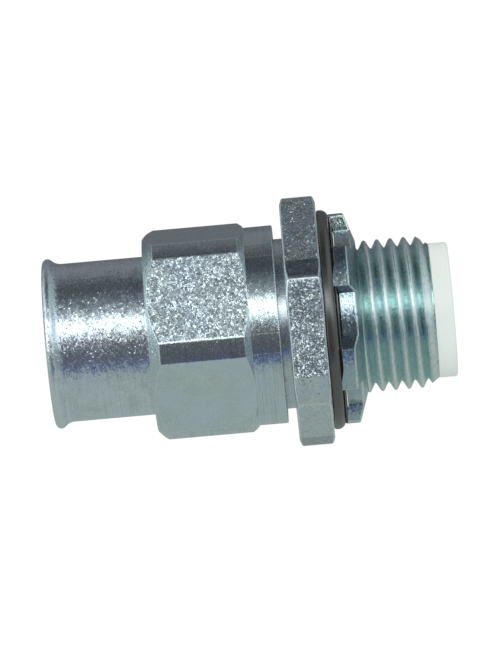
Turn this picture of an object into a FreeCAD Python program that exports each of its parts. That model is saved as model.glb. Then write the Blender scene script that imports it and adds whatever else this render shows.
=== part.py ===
import FreeCAD, Part
import math
import os

# Raintight compression fitting for 1/2 inch thin-wall conduit, in millimetres.
# The fitting's axis is X. The conduit enters at -X and the threaded hub points to +X.
# The origin is the centre of the hex flange's seating face, where it meets the enclosure wall.
# Angles about the axis are measured from +Y towards +Z.

# The conduit, and the passage for it.
CONDUIT_OD = 17.93
SOCKET_R = CONDUIT_OD / 2 + 0.135
SOCKET_STOP_X = -3.0
WIREWAY_R = 7.9

# The hub: a straight 14 threads per inch thread, right-handed.
HUB_THREAD_R = 10.4
HUB_ROOT_R = 9.2
HUB_PITCH = 25.4 / 14
HUB_END_X = 14.86
HUB_CREST_ANGLE = 336.1
HUB_RELIEF_R = 9.15
HUB_RELIEF_X = 1.4
HUB_RUNOUT = 0.7
HUB_END_CHAMFER = 1.0
HUB_CUT_START_X = 0.5

# The gland thread: 18 threads per inch, right-handed.
GLAND_THREAD_R = 12.4
GLAND_ROOT_R = 11.7
GLAND_PITCH = 25.4 / 18
GLAND_CREST_ANGLE = 0.0
GLAND_END_CHAMFER = 0.6
GLAND_CUT_OVERRUN = 0.6
BODY_MOUTH_X = -16.0
NECK_R = 11.65
NECK_START_X = -7.4
NECK_SHOULDER = 0.5

# Both threads have 60 degree flanks, a narrow flat at the root and running clearance.
ROOT_FLAT = 0.15
FLANK_SLOPE = math.tan(math.radians(30))
THREAD_RADIAL_CLEARANCE = 0.1
THREAD_SIDE_CLEARANCE = 0.065

# How far a cutting tool starts outside the surface that it cuts.
TOOL_OVERRUN = 1.0
THREAD_TOOL_RISE = 0.1
THREAD_TOOL_DROP = 0.05

# The body's hex flange.
FLANGE_AF = 30.16
FLANGE_THICKNESS = 4.9
FLANGE_CORNER_R = 17.41
FLANGE_CHAMFER = 0.5
FLANGE_FACE_R = 16.71

# The cone in the body's mouth, which closes the compression ring.
CONE_MOUTH_R = 10.95
CONE_SLOPE = 0.643

# The gland nut: a hex with turned-down corners and a round collar.
NUT_AF = 27.0
NUT_CORNER_R = 14.8
NUT_LEFT_X = -24.0
NUT_FACE_R = 13.2
NUT_LEFT_CHAMFER = 1.5
NUT_RIGHT_SLOPE = 0.9
NUT_HEX_END_X = -10.1
NUT_COLLAR_R = 13.6
NUT_COLLAR_ROOT_R = 13.0
NUT_COLLAR_BEVEL = 0.2
NUT_RIGHT_X = -6.16
NUT_WALL = 1.7
NUT_RELIEF_R = 12.6
NUT_RELIEF_LENGTH = 2.6
NUT_RELIEF_SLOPE = 0.5
NUT_COUNTERBORE_LENGTH = 1.3
NUT_COUNTERBORE_SLOPE = 0.6
NUT_THREAD_LEAD = 1.3
NUT_THREAD_TAIL = 0.6

# The bell-mouthed sleeve.
SLEEVE_R = 10.85
SLEEVE_BORE_R = 9.25
SLEEVE_TIP_X = -37.9
LIP_R = 0.7
LIP_CREST_R = 11.65
FLARE_R = 2.0
BELL_R = 1.5
SLEEVE_CLEARANCE = 0.1
WASHER_CLEARANCE = 0.05
RING_CLEARANCE = 0.02

# The stack behind the nut's end wall, from the wall towards the body.
STACK_GAP = 0.05
STACK_X = NUT_LEFT_X + NUT_WALL + STACK_GAP
STACK_R = 11.35
SLEEVE_FLANGE_THICKNESS = 0.8
WASHER_THICKNESS = 0.6
SEALING_RING_THICKNESS = 2.1
SEALING_RING_EDGE = 0.35
COMPRESSION_RING_LENGTH = 3.2
COMPRESSION_RING_R = 10.8
COMPRESSION_RING_NOSE_R = 9.7
COMPRESSION_RING_TAIL_R = 10.2
COMPRESSION_RING_TAIL_LENGTH = 0.7
COMPRESSION_RING_SLIT = 1.2

# The rubber gasket on the hub.
GASKET_BORE_R = 10.5
GASKET_R = 15.05
GASKET_THICKNESS = 1.5
GASKET_RIM_THICKNESS = 0.5
GASKET_DOME_X = 1.18
GASKET_DOME_R = 13.95
GASKET_FACE_R = 12.8

# The stamped locknut.
LOCKNUT_R = 14.4
LOCKNUT_LEFT_X = 1.88
LOCKNUT_RIM_X = 3.9
LOCKNUT_RIM_EDGE = 0.25
LOCKNUT_CROWN_X = 5.0
LOCKNUT_CROWN_R = 10.4
LOCKNUT_DISH_DEPTH = 0.7
LOCKNUT_DISH_R = 10.9
LOCKNUT_SHOULDER_DEPTH = 0.1
LOCKNUT_SHOULDER_R = 13.0
LUG_COUNT = 6
LUG_END_ANGLE = 61.5
NOTCH_FLOOR_R = 12.4
NOTCH_START_ANGLE = LUG_END_ANGLE + 2.0
NOTCH_END_ANGLE = LUG_END_ANGLE + 28.5
LUG_START_ANGLE = LUG_END_ANGLE + 35.3
TOOTH_REACH = 0.43
TOOTH_SPAN = 13.5
TOOTH_INNER_R = 13.5
TOOTH_ROOT = 0.5

# The nylon throat insulator.
INSULATOR_BORE_R = 7.7
INSULATOR_SHANK_R = 8.48
INSULATOR_FLANGE_R = 9.1
INSULATOR_SEAT_X = 11.5
INSULATOR_END_X = 17.47
INSULATOR_EDGE_R = 0.4
INSULATOR_MOUTH_R = 1.0
COUNTERBORE_R = 8.5

ORIGIN = FreeCAD.Vector(0, 0, 0)
AXIS_X = FreeCAD.Vector(1, 0, 0)
AXIS_Y = FreeCAD.Vector(0, 1, 0)


def at(x, r):
    """The point at station x and radius r in the plane that is turned about the axis."""
    return FreeCAD.Vector(x, 0, r)


def on_circle(centre, radius, degrees):
    """The (x, r) point at an angle on a circle of the turned outline."""
    angle = math.radians(degrees)
    return centre[0] + radius * math.cos(angle), centre[1] + radius * math.sin(angle)


def turned(start, *steps):
    """A solid of revolution about X. A step is a point (x, r), or a pair (middle, end) for an arc."""
    edges = []
    here = start
    for step in steps + (start,):
        if isinstance(step[0], tuple):
            middle, end = step
            edges.append(Part.Arc(at(*here), at(*middle), at(*end)).toShape())
            here = end
        elif math.dist(here, step) > 1e-7:
            edges.append(Part.LineSegment(at(*here), at(*step)).toShape())
            here = step
    return Part.Face(Part.Wire(edges)).revolve(ORIGIN, AXIS_X, 360)


def hex_bar(across_flats, left, right, first_corner):
    """A hexagonal bar along X, with one corner at the angle first_corner."""
    corner_r = across_flats / 2 / math.cos(math.radians(30))
    points = []
    for k in range(7):
        angle = math.radians(first_corner + 60 * k)
        points.append(FreeCAD.Vector(left, corner_r * math.cos(angle), corner_r * math.sin(angle)))
    return Part.Face(Part.makePolygon(points)).extrude(FreeCAD.Vector(right - left, 0, 0))


def cut_thread(solid, section, pitch, left, right, centre_x, centre_angle):
    """The solid with a helical groove cut in it, one turn after another from left to right.

    section lists (offset along X, radius) about the groove's middle line, which passes
    through station centre_x at the angle centre_angle.
    """
    helix = Part.makeHelix(pitch, pitch, section[0][1])
    points = [FreeCAD.Vector(r, 0, offset) for offset, r in section]
    shell = Part.BRepOffsetAPI.MakePipeShell(helix)
    shell.setFrenetMode(True)
    shell.add(Part.makePolygon(points + points[:1]))
    shell.build()
    shell.makeSolid()
    turn = shell.shape()
    turn.rotate(ORIGIN, AXIS_Y, 90)
    turn.rotate(ORIGIN, AXIS_X, centre_angle + 360 * (left - centre_x) / pitch + 90)
    turn.translate(FreeCAD.Vector(left, 0, 0))
    for _ in range(math.ceil((right - left) / pitch)):
        solid = solid.cut(turn)
        turn.translate(FreeCAD.Vector(pitch, 0, 0))
    return solid


def cut_male_thread(solid, root_r, crest_r, pitch, left, right, crest_x, crest_angle):
    """Cuts an outside thread whose crest passes crest_x at crest_angle."""
    top_r = crest_r + THREAD_TOOL_RISE
    root = ROOT_FLAT / 2
    top = root + (top_r - root_r) * FLANK_SLOPE
    section = [(-root, root_r), (root, root_r), (top, top_r), (-top, top_r)]
    return cut_thread(solid, section, pitch, left, right, crest_x + pitch / 2, crest_angle)


def cut_female_thread(solid, root_r, crest_r, pitch, left, right, crest_x, crest_angle):
    """Cuts the inside thread that runs on that outside thread, with clearance all round."""
    inner_r = root_r + THREAD_RADIAL_CLEARANCE - THREAD_TOOL_DROP
    outer_r = crest_r + THREAD_RADIAL_CLEARANCE
    ridge = pitch / 2 - ROOT_FLAT / 2 + THREAD_SIDE_CLEARANCE
    inner = ridge - (inner_r - root_r) * FLANK_SLOPE
    outer = ridge - (outer_r - root_r) * FLANK_SLOPE
    section = [(-inner, inner_r), (inner, inner_r), (outer, outer_r), (-outer, outer_r)]
    return cut_thread(solid, section, pitch, left, right, crest_x, crest_angle)


def body():
    """The body, machined from hex bar: gland thread, neck, hex flange and threaded hub, bored through."""
    hex_left = -FLANGE_THICKNESS
    flange = hex_bar(FLANGE_AF, hex_left, 0, 0)
    flange = flange.common(turned(
        (hex_left, 0),
        (hex_left, FLANGE_FACE_R),
        (hex_left + FLANGE_CHAMFER, FLANGE_CORNER_R),
        (-FLANGE_CHAMFER, FLANGE_CORNER_R),
        (0, FLANGE_FACE_R),
        (0, 0),
    ))
    gland_barrel = turned(
        (BODY_MOUTH_X, 0),
        (BODY_MOUTH_X, GLAND_THREAD_R - GLAND_END_CHAMFER),
        (BODY_MOUTH_X + GLAND_END_CHAMFER, GLAND_THREAD_R),
        (NECK_START_X, GLAND_THREAD_R),
        (NECK_START_X + NECK_SHOULDER, NECK_R),
        (hex_left, NECK_R),
        (hex_left, 0),
    )
    hub = turned(
        (0, 0),
        (0, HUB_RELIEF_R),
        (HUB_RELIEF_X, HUB_RELIEF_R),
        (HUB_RELIEF_X + HUB_RUNOUT, HUB_THREAD_R),
        (HUB_END_X - HUB_END_CHAMFER, HUB_THREAD_R),
        (HUB_END_X, HUB_THREAD_R - HUB_END_CHAMFER),
        (HUB_END_X, 0),
    )
    solid = flange.fuse([gland_barrel, hub])
    solid = solid.cut(turned(
        (BODY_MOUTH_X - TOOL_OVERRUN, 0),
        (BODY_MOUTH_X - TOOL_OVERRUN, CONE_MOUTH_R + TOOL_OVERRUN * CONE_SLOPE),
        (BODY_MOUTH_X + (CONE_MOUTH_R - SOCKET_R) / CONE_SLOPE, SOCKET_R),
        (SOCKET_STOP_X, SOCKET_R),
        (SOCKET_STOP_X, WIREWAY_R),
        (INSULATOR_SEAT_X, WIREWAY_R),
        (INSULATOR_SEAT_X, COUNTERBORE_R),
        (HUB_END_X + TOOL_OVERRUN, COUNTERBORE_R),
        (HUB_END_X + TOOL_OVERRUN, 0),
    ))
    solid = cut_male_thread(
        solid, HUB_ROOT_R, HUB_THREAD_R, HUB_PITCH,
        HUB_CUT_START_X, HUB_END_X + TOOL_OVERRUN, HUB_END_X, HUB_CREST_ANGLE,
    )
    return cut_male_thread(
        solid, GLAND_ROOT_R, GLAND_THREAD_R, GLAND_PITCH,
        BODY_MOUTH_X - TOOL_OVERRUN, NECK_START_X + GLAND_CUT_OVERRUN, BODY_MOUTH_X, GLAND_CREST_ANGLE,
    )


def throat_insulator():
    """The nylon bushing pressed into the hub's end, with a rounded lip for the wires to pass over."""
    seat = INSULATOR_SEAT_X
    end = INSULATOR_END_X
    edge = INSULATOR_EDGE_R
    mouth = INSULATOR_MOUTH_R
    edge_centre = (end - edge, INSULATOR_FLANGE_R - edge)
    mouth_centre = (end - mouth, INSULATOR_BORE_R + mouth)
    return turned(
        (seat, INSULATOR_BORE_R),
        (seat, INSULATOR_SHANK_R),
        (HUB_END_X, INSULATOR_SHANK_R),
        (HUB_END_X, INSULATOR_FLANGE_R),
        (end - edge, INSULATOR_FLANGE_R),
        (on_circle(edge_centre, edge, 45), (end, INSULATOR_FLANGE_R - edge)),
        (end, INSULATOR_BORE_R + mouth),
        (on_circle(mouth_centre, mouth, -45), (end - mouth, INSULATOR_BORE_R)),
    )


def gland_nut():
    """The gland nut: hex, round collar, end wall with a running bore for the sleeve, inside thread."""
    envelope = turned(
        (NUT_LEFT_X, 0),
        (NUT_LEFT_X, NUT_FACE_R),
        (NUT_LEFT_X + NUT_LEFT_CHAMFER, NUT_CORNER_R),
        (NUT_HEX_END_X - NUT_RIGHT_SLOPE, NUT_CORNER_R),
        (NUT_HEX_END_X, NUT_COLLAR_R),
        (NUT_HEX_END_X, 0),
    )
    solid = hex_bar(NUT_AF, NUT_LEFT_X, NUT_HEX_END_X, 30).common(envelope)
    collar = turned(
        (NUT_HEX_END_X - NUT_RIGHT_SLOPE, 0),
        (NUT_HEX_END_X - NUT_RIGHT_SLOPE, NUT_COLLAR_ROOT_R),
        (NUT_HEX_END_X, NUT_COLLAR_R),
        (NUT_RIGHT_X - NUT_COLLAR_BEVEL, NUT_COLLAR_R),
        (NUT_RIGHT_X, NUT_COLLAR_R - NUT_COLLAR_BEVEL),
        (NUT_RIGHT_X, 0),
    )
    bore_r = SLEEVE_R + SLEEVE_CLEARANCE
    crest_r = GLAND_ROOT_R + THREAD_RADIAL_CLEARANCE
    wall_x = NUT_LEFT_X + NUT_WALL
    relief_x = wall_x + NUT_RELIEF_LENGTH
    counterbore_x = NUT_RIGHT_X - NUT_COUNTERBORE_LENGTH
    solid = solid.fuse(collar).cut(turned(
        (NUT_LEFT_X - TOOL_OVERRUN, 0),
        (NUT_LEFT_X - TOOL_OVERRUN, bore_r),
        (wall_x, bore_r),
        (wall_x, NUT_RELIEF_R),
        (relief_x, NUT_RELIEF_R),
        (relief_x + NUT_RELIEF_SLOPE, crest_r),
        (counterbore_x - NUT_COUNTERBORE_SLOPE, crest_r),
        (counterbore_x, NUT_RELIEF_R),
        (NUT_RIGHT_X + TOOL_OVERRUN, NUT_RELIEF_R),
        (NUT_RIGHT_X + TOOL_OVERRUN, 0),
    ))
    return cut_female_thread(
        solid, GLAND_ROOT_R, GLAND_THREAD_R, GLAND_PITCH,
        relief_x - NUT_THREAD_LEAD, counterbore_x + NUT_THREAD_TAIL, BODY_MOUTH_X, GLAND_CREST_ANGLE,
    )


def bell_mouth_sleeve():
    """The drawn sleeve that guides the conduit: flared rounded mouth, and a flange behind the nut's wall."""
    lip = (SLEEVE_TIP_X + LIP_R, LIP_CREST_R - LIP_R)
    rise = SLEEVE_R + FLARE_R - lip[1]
    reach = math.sqrt((FLARE_R + LIP_R) ** 2 - rise ** 2)
    flare = (lip[0] + reach, SLEEVE_R + FLARE_R)
    flare_angle = math.degrees(math.atan2(rise, reach))
    drop = SLEEVE_BORE_R + BELL_R - lip[1]
    bell = (lip[0] + math.sqrt((BELL_R - LIP_R) ** 2 - drop ** 2), SLEEVE_BORE_R + BELL_R)
    bell_angle = math.degrees(math.atan2(lip[1] - bell[1], lip[0] - bell[0]))
    flange_x = STACK_X + SLEEVE_FLANGE_THICKNESS
    return turned(
        (flange_x, SLEEVE_BORE_R),
        (flange_x, STACK_R),
        (STACK_X, STACK_R),
        (STACK_X, SLEEVE_R),
        (flare[0], SLEEVE_R),
        (
            on_circle(flare, FLARE_R, (flare_angle - 270) / 2),
            on_circle(lip, LIP_R, flare_angle),
        ),
        (
            on_circle(lip, LIP_R, (flare_angle + bell_angle) / 2),
            on_circle(lip, LIP_R, bell_angle),
        ),
        (
            on_circle(bell, BELL_R, (bell_angle + 270) / 2),
            (bell[0], SLEEVE_BORE_R),
        ),
    )


def slip_washer():
    """The flat steel washer that lets the nut turn without twisting the rubber."""
    left = STACK_X + SLEEVE_FLANGE_THICKNESS
    right = left + WASHER_THICKNESS
    inner_r = SLEEVE_BORE_R + WASHER_CLEARANCE
    return turned((left, inner_r), (left, STACK_R), (right, STACK_R), (right, inner_r))


def sealing_ring():
    """The rubber ring that is squeezed onto the conduit and keeps the rain out."""
    left = STACK_X + SLEEVE_FLANGE_THICKNESS + WASHER_THICKNESS
    right = left + SEALING_RING_THICKNESS
    inner_r = SOCKET_R + RING_CLEARANCE
    outer_r = STACK_R - STACK_GAP
    return turned(
        (left, inner_r),
        (left, outer_r),
        (right - SEALING_RING_EDGE, outer_r),
        (right, outer_r - SEALING_RING_EDGE),
        (right, inner_r),
    )


def compression_ring():
    """The split steel ring, tapered both ways, that the body's cone closes onto the conduit."""
    left = STACK_X + SLEEVE_FLANGE_THICKNESS + WASHER_THICKNESS + SEALING_RING_THICKNESS
    right = left + COMPRESSION_RING_LENGTH
    inner_r = SOCKET_R + RING_CLEARANCE
    nose_length = (COMPRESSION_RING_R - COMPRESSION_RING_NOSE_R) / CONE_SLOPE
    ring = turned(
        (left, inner_r),
        (left, COMPRESSION_RING_TAIL_R),
        (left + COMPRESSION_RING_TAIL_LENGTH, COMPRESSION_RING_R),
        (right - nose_length, COMPRESSION_RING_R),
        (right, COMPRESSION_RING_NOSE_R),
        (right, inner_r),
    )
    slit = Part.makeBox(
        COMPRESSION_RING_LENGTH + 2 * TOOL_OVERRUN,
        COMPRESSION_RING_SLIT,
        COMPRESSION_RING_R + TOOL_OVERRUN,
        FreeCAD.Vector(left - TOOL_OVERRUN, -COMPRESSION_RING_SLIT / 2, 0),
    )
    return ring.cut(slit)


def sealing_gasket():
    """The moulded rubber gasket on the hub, with a domed outer edge."""
    return turned(
        (0, GASKET_BORE_R),
        (0, GASKET_R),
        (GASKET_RIM_THICKNESS, GASKET_R),
        ((GASKET_DOME_X, GASKET_DOME_R), (GASKET_THICKNESS, GASKET_FACE_R)),
        (GASKET_THICKNESS, GASKET_BORE_R),
    )


def locknut():
    """The stamped, dished locknut with six notched lugs, each bent into a tooth at one end."""
    left = LOCKNUT_LEFT_X
    crest_r = HUB_ROOT_R + THREAD_RADIAL_CLEARANCE
    dish = turned(
        (left + LOCKNUT_DISH_DEPTH, crest_r),
        (left + LOCKNUT_DISH_DEPTH, LOCKNUT_DISH_R),
        (left + LOCKNUT_SHOULDER_DEPTH, LOCKNUT_SHOULDER_R),
        (left, LOCKNUT_R),
        (LOCKNUT_RIM_X - LOCKNUT_RIM_EDGE, LOCKNUT_R),
        (LOCKNUT_RIM_X, LOCKNUT_R - LOCKNUT_RIM_EDGE),
        (LOCKNUT_CROWN_X, LOCKNUT_CROWN_R),
        (LOCKNUT_CROWN_X, crest_r),
    )
    solid = dish.fuse([tooth(LUG_END_ANGLE + 60 * k) for k in range(LUG_COUNT)])
    solid = solid.cut([notch(60 * k) for k in range(LUG_COUNT)])
    return cut_female_thread(
        solid, HUB_ROOT_R, HUB_THREAD_R, HUB_PITCH,
        left - LOCKNUT_DISH_DEPTH, LOCKNUT_CROWN_X + TOOL_OVERRUN, HUB_END_X, HUB_CREST_ANGLE,
    )


def tooth(end_angle):
    """The bent end of one lug: a wedge on the rim that deepens towards the end of the lug."""
    ring = turned(
        (LOCKNUT_LEFT_X - TOOL_OVERRUN, TOOTH_INNER_R),
        (LOCKNUT_LEFT_X - TOOL_OVERRUN, LOCKNUT_R),
        (LOCKNUT_LEFT_X + TOOL_OVERRUN, LOCKNUT_R),
        (LOCKNUT_LEFT_X + TOOL_OVERRUN, TOOTH_INNER_R),
    )
    length = LOCKNUT_R * math.radians(TOOTH_SPAN)
    profile = [
        FreeCAD.Vector(LOCKNUT_LEFT_X - TOOTH_REACH, 0, 0),
        FreeCAD.Vector(LOCKNUT_LEFT_X + TOOTH_ROOT, 0, 0),
        FreeCAD.Vector(LOCKNUT_LEFT_X + TOOTH_ROOT, 0, -length),
        FreeCAD.Vector(LOCKNUT_LEFT_X, 0, -length),
    ]
    wedge = Part.Face(Part.makePolygon(profile + profile[:1]))
    wedge = wedge.extrude(FreeCAD.Vector(0, LOCKNUT_R + TOOL_OVERRUN, 0))
    wedge.rotate(ORIGIN, AXIS_X, end_angle)
    return wedge.common(ring)


def notch(turn):
    """The gap between two lugs: a flat floor with sloping ends."""
    outer_r = LOCKNUT_R + 2 * TOOL_OVERRUN
    corners = [
        (NOTCH_FLOOR_R, NOTCH_START_ANGLE),
        (NOTCH_FLOOR_R, NOTCH_END_ANGLE),
        (LOCKNUT_R, LUG_START_ANGLE),
        (outer_r, LUG_START_ANGLE),
        (outer_r, LUG_END_ANGLE),
        (LOCKNUT_R, LUG_END_ANGLE),
    ]
    points = []
    for r, degrees in corners + corners[:1]:
        angle = math.radians(degrees + turn)
        points.append(FreeCAD.Vector(0, r * math.cos(angle), r * math.sin(angle)))
    return Part.Face(Part.makePolygon(points)).extrude(FreeCAD.Vector(LOCKNUT_CROWN_X + TOOL_OVERRUN, 0, 0))


PIECES = {
    "body": body,
    "throat_insulator": throat_insulator,
    "gland_nut": gland_nut,
    "bell_mouth_sleeve": bell_mouth_sleeve,
    "slip_washer": slip_washer,
    "sealing_ring": sealing_ring,
    "compression_ring": compression_ring,
    "sealing_gasket": sealing_gasket,
    "locknut": locknut,
}

os.makedirs("parts", exist_ok=True)
for name, make in PIECES.items():
    shape = make()
    shape.exportStep("parts/" + name + ".step")
    print(name, shape.ShapeType, len(shape.Solids), "solid", round(shape.Volume, 1), "mm3", shape.isValid())
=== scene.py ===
import math

import bmesh
import bpy
from mathutils import Matrix, Vector


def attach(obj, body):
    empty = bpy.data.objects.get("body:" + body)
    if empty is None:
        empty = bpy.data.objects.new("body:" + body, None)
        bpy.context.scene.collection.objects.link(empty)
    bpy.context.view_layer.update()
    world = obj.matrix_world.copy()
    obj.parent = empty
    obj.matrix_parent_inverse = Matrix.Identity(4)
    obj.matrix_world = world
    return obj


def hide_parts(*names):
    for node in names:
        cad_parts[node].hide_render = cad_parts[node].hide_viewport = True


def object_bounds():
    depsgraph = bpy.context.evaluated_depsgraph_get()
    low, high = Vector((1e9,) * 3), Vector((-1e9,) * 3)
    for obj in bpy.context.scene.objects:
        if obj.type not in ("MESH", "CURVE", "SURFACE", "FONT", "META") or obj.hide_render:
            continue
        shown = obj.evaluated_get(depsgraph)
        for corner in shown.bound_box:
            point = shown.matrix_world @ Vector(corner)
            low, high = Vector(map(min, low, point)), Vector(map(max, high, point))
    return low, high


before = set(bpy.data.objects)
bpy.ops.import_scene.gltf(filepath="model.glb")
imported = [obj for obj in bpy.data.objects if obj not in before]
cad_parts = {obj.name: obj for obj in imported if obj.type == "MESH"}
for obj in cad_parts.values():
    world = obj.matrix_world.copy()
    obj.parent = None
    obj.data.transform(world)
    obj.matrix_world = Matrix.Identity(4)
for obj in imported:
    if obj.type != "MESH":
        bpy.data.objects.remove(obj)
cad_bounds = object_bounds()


# ---------------------------------------------------------------------------
# The body: one piece turned from hex steel bar and zinc plated. The middle keeps
# the bar's six flats as a wrench flange, with a shallow chamfer turned on both
# faces. Its bore holds the conduit on one side and lets the wires out on the other.

MM = 0.001
FLANGE_AF = 30.16
FLANGE_CORNER_R = 17.38
FLANGE_LEFT = -4.9
FLANGE_CHAMFER = 0.35
FLANGE_CHAMFER_R = 16.2
FLANGE_CORNER_ROUND = 0.35
FLANGE_CHAMFER_LEAST = 0.10
FLANGE_FACE_STEP = 0.20
FLANGE_LEFT_ROUND = 0.26
FLANGE_RIGHT_ROUND = 0.28
FLANGE_ROLLED_START = 47.3
FLANGE_ROLLED_END = 59.9
FLANGE_WEAR_AND_HIGHLIGHT_SPAN = 0.7
NECK_R = 11.65
NECK_START = -6.9
CORE_R = 11.6
MOUTH_X = -15.98
MOUTH_R = 10.95
SOCKET_R = 9.1
SOCKET_START = -13.12
SOCKET_STOP = -3.0
WIREWAY_R = 7.9
WIREWAY_END = 11.5
HUB_CORE_R = 8.55
RELIEF_R = 9.15
RELIEF_END = 1.4


def rounded(*corners):
    """A closed outline of (x, r, on_edge, kind) from corners (x, r, radius) or (x, r, radius, kind).

    Each corner is rounded in four short sides, whose on_edge is 1. kind says what the side after the
    corner is: 0 turned, 1 the bar's own flat, 2 that flat where a wrench has rolled it smooth.
    """
    outline = []
    count = len(corners)
    for k in range(count):
        x, r, radius = corners[k][:3]
        kind = corners[k][3] if len(corners[k]) > 3 else 0.0
        if radius == 0:
            outline.append((x, r, 0.0, kind))
            continue
        before, after = corners[k - 1], corners[(k + 1) % count]
        to_before = math.atan2(before[1] - r, before[0] - x)
        to_after = math.atan2(after[1] - r, after[0] - x)
        half = ((to_after - to_before + math.pi) % (2 * math.pi) - math.pi) / 2
        reach = radius / math.sin(abs(half))
        middle = to_before + half
        centre_x = x + reach * math.cos(middle)
        centre_r = r + reach * math.sin(middle)
        sweep = (math.pi / 2 - abs(half)) * (-1 if half > 0 else 1)
        for step in range(5):
            turn = middle + math.pi + sweep * (step / 2 - 1)
            on_edge = 1.0 if step < 4 else 0.0
            spot = (centre_x + radius * math.cos(turn), centre_r + radius * math.sin(turn))
            outline.append((*spot, on_edge, kind))
    return outline


def ring_mesh(name, outline_at, angles, closed=True, wear_and_highlight_at=None):
    """A mesh ring about the fitting's axis, from one outline in millimetres at each angle in degrees.

    The face attribute "edge" is 1 on rounded edges, and on the outside at the angles that the given angle
    test picks; there the material paints the finish bright, partly as wear and partly as a painted highlight.
    "drawn" is 1 on the flats that the bar had when it was drawn, and "rolled" is 1 where a wrench has smoothed
    them.
    """
    work = bmesh.new()
    edge = work.faces.layers.float.new("edge")
    flat = work.faces.layers.float.new("drawn")
    rolled = work.faces.layers.float.new("rolled")
    loops = []
    for angle in angles:
        c, s = math.cos(math.radians(angle)), math.sin(math.radians(angle))
        outline = outline_at(angle)
        loop = [work.verts.new((x * MM, r * c * MM, r * s * MM)) for x, r, *_ in outline]
        loops.append((loop, outline, angle))
    following = loops[1:] + loops[:1] if closed else loops[1:]
    for (low, outline, from_angle), (high, _, to_angle) in zip(loops, following):
        # Outside faces at the picked angles get the bright paint too: partly wear, partly a painted highlight.
        wear_and_highlight = wear_and_highlight_at is not None and wear_and_highlight_at((from_angle + to_angle) / 2)
        for j in range(len(low)):
            k = (j + 1) % len(low)
            face = work.faces.new((low[j], low[k], high[k], high[j]))
            outside = min(outline[j][1], outline[k][1]) > 0.9 * max(point[1] for point in outline)
            face[edge] = 1.0 if outline[j][2] or wear_and_highlight and outside else 0.0
            face[flat] = 1.0 if outline[j][3] == 1.0 and not outline[j][2] else 0.0
            face[rolled] = 1.0 if outline[j][3] == 2.0 and not outline[j][2] else 0.0
    mesh = bpy.data.meshes.new(name)
    work.to_mesh(mesh)
    work.free()
    return mesh


def finish_mesh(mesh, crease=35):
    """Welds doubles, turns the faces outwards, and shades smooth up to the crease angle."""
    work = bmesh.new()
    work.from_mesh(mesh)
    bmesh.ops.remove_doubles(work, verts=work.verts, dist=0.0005 * MM)
    bmesh.ops.recalc_face_normals(work, faces=work.faces)
    work.to_mesh(mesh)
    work.free()
    mesh.shade_smooth()
    mesh.set_sharp_from_angle(angle=math.radians(crease))
    return mesh


def place(name, mesh, material, body, slot, *stands_for):
    """Puts a finished mesh in the scene as a piece that rides on a body of the frame."""
    piece = bpy.data.objects.new(name, mesh)
    bpy.context.scene.collection.objects.link(piece)
    mesh.materials.clear()
    mesh.materials.append(material)
    even = piece.modifiers.new("even_normals", "WEIGHTED_NORMAL")
    even.keep_sharp = True
    even.weight = 60
    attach(piece, body)
    if stands_for:
        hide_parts(*stands_for)
    return piece


def add(tree, kind, *inputs, **settings):
    """Adds a node. Its inputs, in order, are values, nodes or sockets; None leaves one as it is."""
    made = tree.nodes.new(kind)
    for key, value in settings.items():
        setattr(made, key, value)
    free = [socket for socket in made.inputs if socket.enabled]
    for socket, value in zip(free, inputs):
        if isinstance(value, bpy.types.Node):
            value = next(out for out in value.outputs if out.enabled)
        if isinstance(value, bpy.types.NodeSocket):
            tree.links.new(value, socket)
        elif value is not None:
            socket.default_value = value
    return made


def sums(tree, operation, *inputs):
    """One step of arithmetic on numbers."""
    return add(tree, "ShaderNodeMath", *inputs, operation=operation).outputs[0]


def vectors(tree, operation, *inputs):
    """One step of arithmetic on vectors."""
    return add(tree, "ShaderNodeVectorMath", *inputs, operation=operation).outputs[0]


def blend_colours(tree, share, first, second, blend_type="MIX"):
    """Mixes two colours by a share from 0 to 1."""
    mixer = add(tree, "ShaderNodeMix", data_type="RGBA", blend_type=blend_type, clamp_factor=True)
    for socket, value in ((mixer.inputs[0], share), (mixer.inputs[6], first), (mixer.inputs[7], second)):
        if isinstance(value, bpy.types.NodeSocket):
            tree.links.new(value, socket)
        else:
            socket.default_value = value
    return mixer.outputs[2]


def new_group(name, kind, inputs, outputs):
    """An empty node group with named inputs (name, type, default) and named outputs (name, type)."""
    group = bpy.data.node_groups.new(name, kind)
    for label, socket_type, default in inputs:
        made = group.interface.new_socket(label, in_out="INPUT", socket_type=socket_type)
        if default is not None:
            made.default_value = default
    for label, socket_type in outputs:
        group.interface.new_socket(label, in_out="OUTPUT", socket_type=socket_type)
    return group, group.nodes.new("NodeGroupInput").outputs, group.nodes.new("NodeGroupOutput").inputs


def repeat_round():
    """A node tree that sets copies of one sector round the X axis and welds them into a ring."""
    tree, given, result = new_group("repeat_round", "GeometryNodeTree", [
        ("Sector", "NodeSocketGeometry", None),
        ("Count", "NodeSocketInt", 6),
        ("Weld Distance", "NodeSocketFloat", 0.0005 * MM),
        ("Material", "NodeSocketMaterial", None),
    ], [("Ring", "NodeSocketGeometry")])
    points = add(tree, "GeometryNodePoints", given["Count"])
    index = add(tree, "GeometryNodeInputIndex")
    angle = sums(tree, "MULTIPLY", sums(tree, "DIVIDE", index, given["Count"]), 2 * math.pi)
    turn = add(tree, "ShaderNodeCombineXYZ", angle, 0.0, 0.0)
    copies = add(tree, "GeometryNodeInstanceOnPoints", points)
    tree.links.new(given["Sector"], copies.inputs["Instance"])
    tree.links.new(turn.outputs[0], copies.inputs["Rotation"])
    welded = add(tree, "GeometryNodeMergeByDistance", add(tree, "GeometryNodeRealizeInstances", copies))
    tree.links.new(given["Weld Distance"], welded.inputs["Distance"])
    painted = add(tree, "GeometryNodeSetMaterial", welded)
    tree.links.new(given["Material"], painted.inputs["Material"])
    tree.links.new(painted.outputs[0], result["Ring"])
    return tree


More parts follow.
